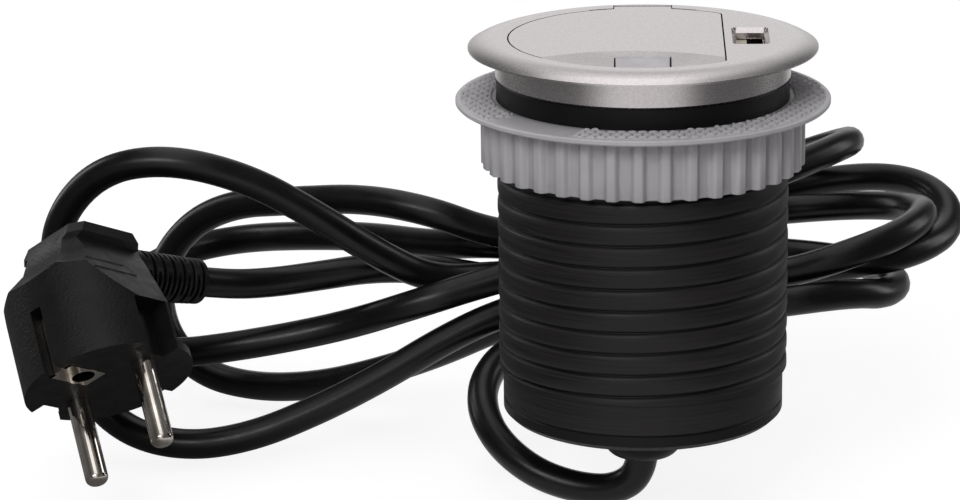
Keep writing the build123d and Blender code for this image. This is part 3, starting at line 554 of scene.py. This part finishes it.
# Threaded barrel
CREST_R = 29.4
BARREL_IN_R = 26.6
PITCH_MM = 4.4
THREAD_TOP = -11.0
THREAD_END = -66.0
THREAD_RUNOUT = 1.2
GROOVE_FRONT_Z = -29.1
THREAD_STEPS = 150
COLLAR_TOP = -5.8
NECK_R = 28.0
NECK_TOP_R = 27.9
NECK_TOP = -3.2
FOOT_R = 28.6
FOOT_BOTTOM = -72.7
FOOT_LIP_R = 29.35
FOOT_LIP_LOW_R = 29.3
FOOT_LIP_UP = 0.2
BARREL_CHAMFER = 0.3
# Share of the pitch down from one land's middle to the next, and depth below the crest
THREAD_FORM = [
    (0.0, 0.0), (0.2, 0.02), (0.33, 0.12), (0.42, 0.32), (0.455, 0.78), (0.5, 0.88), (0.535, 0.78),
    (0.575, 0.28), (0.66, 0.11), (0.80, 0.02),
]


# The groove is half a pitch from the land, and the front is a quarter turn from the thread's first step
def thread():
    count = len(THREAD_FORM)
    turns = math.ceil((THREAD_TOP - THREAD_END) / PITCH_MM) + 3
    start = GROOVE_FRONT_Z + (0.5 + 0.25) * PITCH_MM
    start += PITCH_MM * math.ceil((THREAD_TOP - start) / PITCH_MM) + PITCH_MM
    verts = []
    faces = []
    total = THREAD_STEPS * turns
    for i in range(total + 1):
        angle = 2 * math.pi * i / THREAD_STEPS
        rise = PITCH_MM * (i / THREAD_STEPS - turns)
        for share, depth in THREAD_FORM:
            z = start + rise - PITCH_MM * share
            runout = smooth((z - THREAD_END) / THREAD_RUNOUT)
            z = min(THREAD_TOP, max(THREAD_END, z))
            r = CREST_R - depth * runout
            verts.append((r * math.cos(angle), r * math.sin(angle), z))
    for i in range(total):
        for j in range(count):
            a = i * count + j
            d = a + count
            b, c = a + 1, d + 1
            if j + 1 == count:
                b = (i - THREAD_STEPS) * count
                c = b + count
            if b >= 0 and len({round(verts[k][2], 5) for k in (a, b, c, d)}) > 1:
                faces.append((a, b, c, d))
    return add_mesh("barrel_thread", verts, faces, "threaded_barrel", degrees=60, material=TURNED_PLASTIC)


def barrel():
    thread()
    collar = [
        (BARREL_IN_R, THREAD_TOP),
        (CREST_R, THREAD_TOP),
        (CREST_R, COLLAR_TOP - BARREL_CHAMFER),
        (CREST_R - BARREL_CHAMFER, COLLAR_TOP),
        (NECK_R, COLLAR_TOP),
        (NECK_TOP_R, NECK_TOP),
        (BARREL_IN_R, NECK_TOP),
    ]
    foot = [
        (BARREL_IN_R, FOOT_BOTTOM),
        (FOOT_R - BARREL_CHAMFER, FOOT_BOTTOM),
        (FOOT_R, FOOT_BOTTOM + BARREL_CHAMFER),
        (FOOT_R, THREAD_END - BARREL_CHAMFER),
        (FOOT_LIP_LOW_R, THREAD_END),
        (FOOT_LIP_R, THREAD_END + FOOT_LIP_UP),
        (BARREL_IN_R, THREAD_END + FOOT_LIP_UP),
    ]
    lathe("barrel_collar", collar, "threaded_barrel")
    lathe("barrel_foot", foot, "threaded_barrel", material=TURNED_PLASTIC)


# Clamp nut: smooth flutes that run out under the washer
NUT_R = 32.6
NUT_TOP = -11.15
NUT_BOTTOM = -23.65
CLAMP_BORE_R = 29.5
NUT_CHAMFER_IN = 0.35
NUT_CHAMFER_UP = 0.3
FLUTES = 38
FLUTE_STEPS = 20
FLUTE_DEPTH = 1.45
FLUTE_LAND = 0.12
FLUTE_WALL = 0.6
FLUTE_RUNOUT = 1.5
FLUTE_FRONT = math.radians(-91.43)
# Heights of the nut's rings: a share of its height up the plain part, and below its top in the runout
NUT_MIDDLE = 0.45
NUT_RINGS_BELOW_TOP = (1.6, 1.2, 0.9, 0.6, 0.3, 0.0)


def flute_radius(angle, depth):
    swing = (1 - math.cos(FLUTES * (angle - FLUTE_FRONT))) / 2
    return NUT_R - depth * smooth((swing - FLUTE_LAND) / FLUTE_WALL)


def nut():
    height = NUT_TOP - NUT_BOTTOM
    rows = [(0.0, NUT_CHAMFER_IN), (NUT_CHAMFER_UP, 0.0), (height * NUT_MIDDLE, 0.0)]
    rows += [(height - below, 0.0) for below in NUT_RINGS_BELOW_TOP]
    steps = FLUTES * FLUTE_STEPS
    verts = []
    for i in range(steps):
        angle = 2 * math.pi * i / steps
        around = (math.cos(angle), math.sin(angle))
        ring = []
        for up, chamfer in rows:
            depth = FLUTE_DEPTH * smooth((height - up) / FLUTE_RUNOUT)
            ring.append((flute_radius(angle, depth) - chamfer, NUT_BOTTOM + up))
        ring += [(CLAMP_BORE_R, NUT_TOP), (CLAMP_BORE_R, NUT_BOTTOM)]
        verts += [(r * around[0], r * around[1], z) for r, z in ring]
    faces = tube_faces(steps, len(rows) + 2, close_rings=True)
    return add_mesh("nut_form", verts, faces, "clamp_nut", degrees=50)


# Clamp washer: its grip face has rows of small scales, with one smooth place
WASHER_R = 37.6
WASHER_TOP = -10.0
GRIP_IN_R = 30.2
GRIP_OUT_R = 36.7
SCALE_W = 2.0
SCALE_L = 2.1
SCALE_H = 0.6
SCALE_RISE = 0.12
SCALE_ROUND = 4
GRIP_BLEND = 0.3
BARE_FROM = math.radians(-146)
BARE_TO = math.radians(-110)
BARE_BLEND = 0.05
WASHER_EDGE = 0.3
WASHER_TOP_EDGE = 0.25
WASHER_FLAT_R = 37.2
WASHER_STEPS = 960
WASHER_RINGS = 40


# Each scale rises steeply at its front and falls away behind, and every second row is offset by half
def scale_height(x, y, angle, r):
    row = math.floor(y / SCALE_L)
    across = abs((x / SCALE_W + 0.5 * (row % 2)) % 1 - 0.5) * 2
    along = y / SCALE_L - row
    height = SCALE_H * (1 - across ** SCALE_ROUND) * (1 - along) * smooth(along / SCALE_RISE)
    bare = smooth((angle - BARE_FROM) / BARE_BLEND) * smooth((BARE_TO - angle) / BARE_BLEND)
    inside = smooth((r - GRIP_IN_R) / GRIP_BLEND) * smooth((GRIP_OUT_R - r) / GRIP_BLEND)
    return height * (1 - bare) * inside


def washer():
    steps = WASHER_STEPS
    radial = WASHER_RINGS
    rim = [
        (CLAMP_BORE_R, NUT_TOP),
        (WASHER_R - WASHER_EDGE, NUT_TOP),
        (WASHER_R, NUT_TOP + WASHER_EDGE),
        (WASHER_R, WASHER_TOP - WASHER_TOP_EDGE),
        (WASHER_R - WASHER_TOP_EDGE, WASHER_TOP),
    ]
    verts = []
    for i in range(steps):
        angle = 2 * math.pi * i / steps - math.pi
        ring = list(rim)
        for j in range(radial):
            r = WASHER_FLAT_R - (WASHER_FLAT_R - CLAMP_BORE_R) * j / (radial - 1)
            lift = scale_height(r * math.cos(angle), r * math.sin(angle), angle, r)
            ring.append((r, WASHER_TOP + lift))
        verts += [(r * math.cos(angle), r * math.sin(angle), z) for r, z in ring]
    faces = tube_faces(steps, len(rim) + radial, close_rings=True)
    return add_mesh("washer_form", verts, faces, "clamp_washer", degrees=28)


# Finger scoop at the lid's front: hollow from side to side, and steepest near its rear edge
RIM_T = 1.9
SCOOP_X = -2.0
SCOOP_HALF = 17.6
SCOOP_START_Y = -12.5
SCOOP_BOW = 58.9
SCOOP_FALL = 0.15
SCOOP_EXTRA_FALL = 0.6
SCOOP_EXTRA_RUN = 10.0
SCOOP_HOLLOW = 2.4
SCOOP_END_Y = -28.5
SCOOP_COLUMNS = 72
SCOOP_ROWS = 18
# How far the cutter reaches past the scoop: behind it, in front, above the lid, and at its rear lip
CUTTER_BEHIND = 0.2
CUTTER_FRONT = 0.5
CUTTER_OVER = 2.0
CUTTER_LIP = 0.03


# Place and depth of the scoop at a share of the way from its rear edge to its end
def scoop_depth(x, share):
    across = (x - SCOOP_X) / SCOOP_HALF
    edge = SCOOP_START_Y - (x - SCOOP_X) ** 2 / SCOOP_BOW
    y = edge + (SCOOP_END_Y - edge) * share
    run = edge - y
    hollow = 1 - abs(across) ** SCOOP_HOLLOW
    steep = 1 + SCOOP_EXTRA_FALL * (1 - min(1.0, run / SCOOP_EXTRA_RUN))
    return y, hollow * SCOOP_FALL * run * steep


def scoop_cutter():
    columns = SCOOP_COLUMNS
    rows = SCOOP_ROWS
    verts = []
    for i in range(columns + 1):
        x = SCOOP_X + SCOOP_HALF * (2 * i / columns - 1)
        low = []
        for j in range(rows + 1):
            y, depth = scoop_depth(x, j / rows)
            low.append((x, y, RIM_T - depth))
        rear = low[0][1] + CUTTER_BEHIND
        start = (x, rear, RIM_T + CUTTER_LIP)
        end = (x, SCOOP_END_Y - CUTTER_FRONT, RIM_T + CUTTER_OVER)
        verts += [start] + low + [end, (x, rear, RIM_T + CUTTER_OVER)]
    count = rows + 4
    faces = tube_faces(columns + 1, count)
    faces.append(tuple(range(count)))
    faces.append(tuple(reversed(range(columns * count, (columns + 1) * count))))
    mesh = bpy.data.meshes.new("scoop")
    mesh.from_pydata([tuple(c * MM for c in vert) for vert in verts], [], faces)
    obj = bpy.data.objects.new("scoop", mesh)
    bpy.context.scene.collection.objects.link(obj)
    bpy.context.view_layer.objects.active = obj
    obj.select_set(True)
    bpy.ops.object.mode_set(mode="EDIT")
    bpy.ops.mesh.select_all(action="SELECT")
    bpy.ops.mesh.normals_make_consistent(inside=False)
    bpy.ops.object.mode_set(mode="OBJECT")
    obj.select_set(False)
    return obj


# Button: a little smaller than its opening across and at the rear, so that the gap shows as a line
BUTTON_ACROSS = 0.972
BUTTON_ALONG = 0.93
BUTTON_EDGE = 0.2
LID_EDGE = 0.07
LID_CREASE = 4


def latch_button():
    button = soften("latch_button", BUTTON_EDGE)
    spots = [vert.co for vert in button.data.vertices]
    middle = (min(spot.x for spot in spots) + max(spot.x for spot in spots)) / 2
    front = min(spot.y for spot in spots)
    for spot in spots:
        spot.x = middle + (spot.x - middle) * BUTTON_ACROSS
        spot.y = front + (spot.y - front) * BUTTON_ALONG


def latch_spring():
    mesh = NODES["latch_spring"].data.copy()
    mesh.name = "latch_spring_form"
    obj = bpy.data.objects.new("latch_spring_form", mesh)
    bpy.context.scene.collection.objects.link(obj)
    dress(obj, SLOT_OF["latch_spring"])
    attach(obj, BODY_OF["latch_spring"])
    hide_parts("latch_spring")
    sharpen(obj, 40)
    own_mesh(obj)


barrel()
nut()
washer()
latch_spring()
soften("lid", LID_EDGE, cutter=scoop_cutter(), crease=LID_CREASE)
latch_button()
for shown in NODES.values():
    if not shown.hide_render:
        sharpen(shown, 30)

# Studio and light
FLOOR_Z = -0.0985
FLOOR_HALF = 3.0
WORLD_GLOSSY_SHARE = 0.3
FLOOR_GLOSSY_SHARE = 0.62
# The studio darkens between these two sideways shares of a direction, down to the dark share
WORLD_OPEN = (0.08, 0.42)
FLOOR_OPEN = (0.3, 0.75)
DARK_SHARE = 0.12
FLOOR_COLOR = (0.5, 0.5, 0.5, 1)
FLOOR_ROUGH = 0.8
BACKGROUND_COLOR = (0.3, 0.3, 0.3, 1)
BACKGROUND_GLOW = 0.85
# Level of the studio's walls from the horizon, at 0.5, to straight overhead, at 1
SKY = [
    (0.5, (0.65, 0.645, 0.65, 1)),
    (0.61, (1.0, 1.0, 1.0, 1)),
    (0.68, (0.6, 0.6, 0.6, 1)),
    (0.77, (0.4, 0.4, 0.4, 1)),
    (0.87, (1.05, 1.05, 1.05, 1)),
    (0.97, (0.45, 0.445, 0.45, 1)),
]


def math_node(tree, operation, a, b):
    node = tree.nodes.new("ShaderNodeMath")
    node.operation = operation
    tree.links.new(a, node.inputs[0])
    if isinstance(b, float):
        node.inputs[1].default_value = b
    else:
        tree.links.new(b, node.inputs[1])
    return node.outputs[0]


# The studio is open in front and behind, and dark to the left and right
def open_sides(tree, place, reach):
    unit = tree.nodes.new("ShaderNodeVectorMath")
    unit.operation = "NORMALIZE"
    split = tree.nodes.new("ShaderNodeSeparateXYZ")
    fall = tree.nodes.new("ShaderNodeMapRange")
    fall.interpolation_type = "SMOOTHSTEP"
    fall.inputs["From Min"].default_value = reach[0]
    fall.inputs["From Max"].default_value = reach[1]
    fall.inputs["To Min"].default_value = 1.0
    fall.inputs["To Max"].default_value = DARK_SHARE
    tree.links.new(place, unit.inputs[0])
    tree.links.new(unit.outputs["Vector"], split.inputs[0])
    aside = math_node(tree, "ABSOLUTE", split.outputs["X"], 0.0)
    tree.links.new(aside, fall.inputs["Value"])
    return fall.outputs["Result"]


def dimmed(tree, color, share):
    mix = tree.nodes.new("ShaderNodeMix")
    mix.data_type = "RGBA"
    mix.inputs[6].default_value = (0, 0, 0, 1)
    tree.links.new(share, mix.inputs[0])
    if isinstance(color, tuple):
        mix.inputs[7].default_value = color
    else:
        tree.links.new(color, mix.inputs[7])
    return mix.outputs[2]


# How much a ray sees of the white background
def white_share(tree, glossy_share, open_share):
    path = tree.nodes.new("ShaderNodeLightPath")
    glossy = math_node(tree, "MULTIPLY", path.outputs["Is Glossy Ray"], glossy_share)
    glossy = math_node(tree, "MULTIPLY", glossy, open_share)
    seen = math_node(tree, "MAXIMUM", path.outputs["Is Camera Ray"], glossy)
    return math_node(tree, "MAXIMUM", seen, path.outputs["Is Transmission Ray"])


# Pale under the object for its light, and white with a faint shadow where it is seen
def floor():
    mesh = bpy.data.meshes.new("floor")
    corners = [(-1, -1), (1, -1), (1, 1), (-1, 1)]
    mesh.from_pydata([(x * FLOOR_HALF, y * FLOOR_HALF, FLOOR_Z) for x, y in corners], [], [(0, 1, 2, 3)])
    obj = bpy.data.objects.new("floor", mesh)
    bpy.context.scene.collection.objects.link(obj)
    material = bpy.data.materials.new("floor")
    material.use_nodes = True
    tree = material.node_tree
    pale = tree.nodes["Principled BSDF"]
    ground = tree.nodes.new("ShaderNodeNewGeometry")
    open_share = open_sides(tree, ground.outputs["Position"], FLOOR_OPEN)
    tree.links.new(dimmed(tree, FLOOR_COLOR, open_share), pale.inputs["Base Color"])
    pale.inputs["Roughness"].default_value = FLOOR_ROUGH
    faint = tree.nodes.new("ShaderNodeBsdfDiffuse")
    faint.inputs["Color"].default_value = BACKGROUND_COLOR
    white = tree.nodes.new("ShaderNodeEmission")
    white.inputs["Strength"].default_value = BACKGROUND_GLOW
    both = tree.nodes.new("ShaderNodeAddShader")
    mix = tree.nodes.new("ShaderNodeMixShader")
    tree.links.new(faint.outputs[0], both.inputs[0])
    tree.links.new(white.outputs[0], both.inputs[1])
    tree.links.new(white_share(tree, FLOOR_GLOSSY_SHARE, open_share), mix.inputs[0])
    tree.links.new(pale.outputs[0], mix.inputs[1])
    tree.links.new(both.outputs[0], mix.inputs[2])
    tree.links.new(mix.outputs[0], tree.nodes["Material Output"].inputs["Surface"])
    obj.data.materials.append(material)


# Dim at the sides, with bright and dark bands up its height, and white where the background is seen
def world():
    made = bpy.data.worlds.new("studio")
    bpy.context.scene.world = made
    made.use_nodes = True
    tree = made.node_tree
    back = tree.nodes["Background"]
    white = tree.nodes.new("ShaderNodeBackground")
    white.inputs["Color"].default_value = (1, 1, 1, 1)
    white.inputs["Strength"].default_value = 1.0
    coords = tree.nodes.new("ShaderNodeTexCoord")
    split = tree.nodes.new("ShaderNodeSeparateXYZ")
    shift = tree.nodes.new("ShaderNodeMapRange")
    shift.inputs["From Min"].default_value = -1
    ramp = tree.nodes.new("ShaderNodeValToRGB")
    bands = ramp.color_ramp.elements
    bands[0].position, bands[0].color = SKY[0]
    bands[1].position, bands[1].color = SKY[-1]
    for place, color in SKY[1:-1]:
        bands.new(place).color = color
    mix = tree.nodes.new("ShaderNodeMixShader")
    tree.links.new(coords.outputs["Generated"], split.inputs[0])
    tree.links.new(split.outputs["Z"], shift.inputs["Value"])
    tree.links.new(shift.outputs["Result"], ramp.inputs["Fac"])
    open_share = open_sides(tree, coords.outputs["Generated"], WORLD_OPEN)
    tree.links.new(dimmed(tree, ramp.outputs["Color"], open_share), back.inputs["Color"])
    tree.links.new(white_share(tree, WORLD_GLOSSY_SHARE, open_share), mix.inputs[0])
    tree.links.new(back.outputs[0], mix.inputs[1])
    tree.links.new(white.outputs[0], mix.inputs[2])
    tree.links.new(mix.outputs[0], tree.nodes["World Output"].inputs["Surface"])


# A lamp aimed from one spot at another, in metres
def softbox(name, spot, aim, width, height, watts):
    data = bpy.data.lights.new(name, "AREA")
    data.shape = "RECTANGLE"
    data.size = width
    data.size_y = height
    data.energy = watts
    obj = bpy.data.objects.new(name, data)
    obj.location = spot
    obj.rotation_euler = (Vector(aim) - Vector(spot)).to_track_quat("-Z", "Y").to_euler()
    bpy.context.scene.collection.objects.link(obj)


floor()
world()
softbox("overhead", (-0.1, 0.0, 0.9), (0, 0, 0), 1.2, 0.6, 1.6)
softbox("front_high", (-0.35, -0.9, 0.55), (0, 0, -0.03), 0.6, 0.3, 3.5)
softbox("left_rear", (-0.8, 0.45, 0.25), (0, 0, -0.03), 0.3, 0.6, 1.5)
softbox("right_rear", (0.8, 0.35, 0.2), (0, 0, -0.03), 0.3, 0.6, 1.5)

scene = bpy.context.scene
scene.view_settings.view_transform = "Standard"
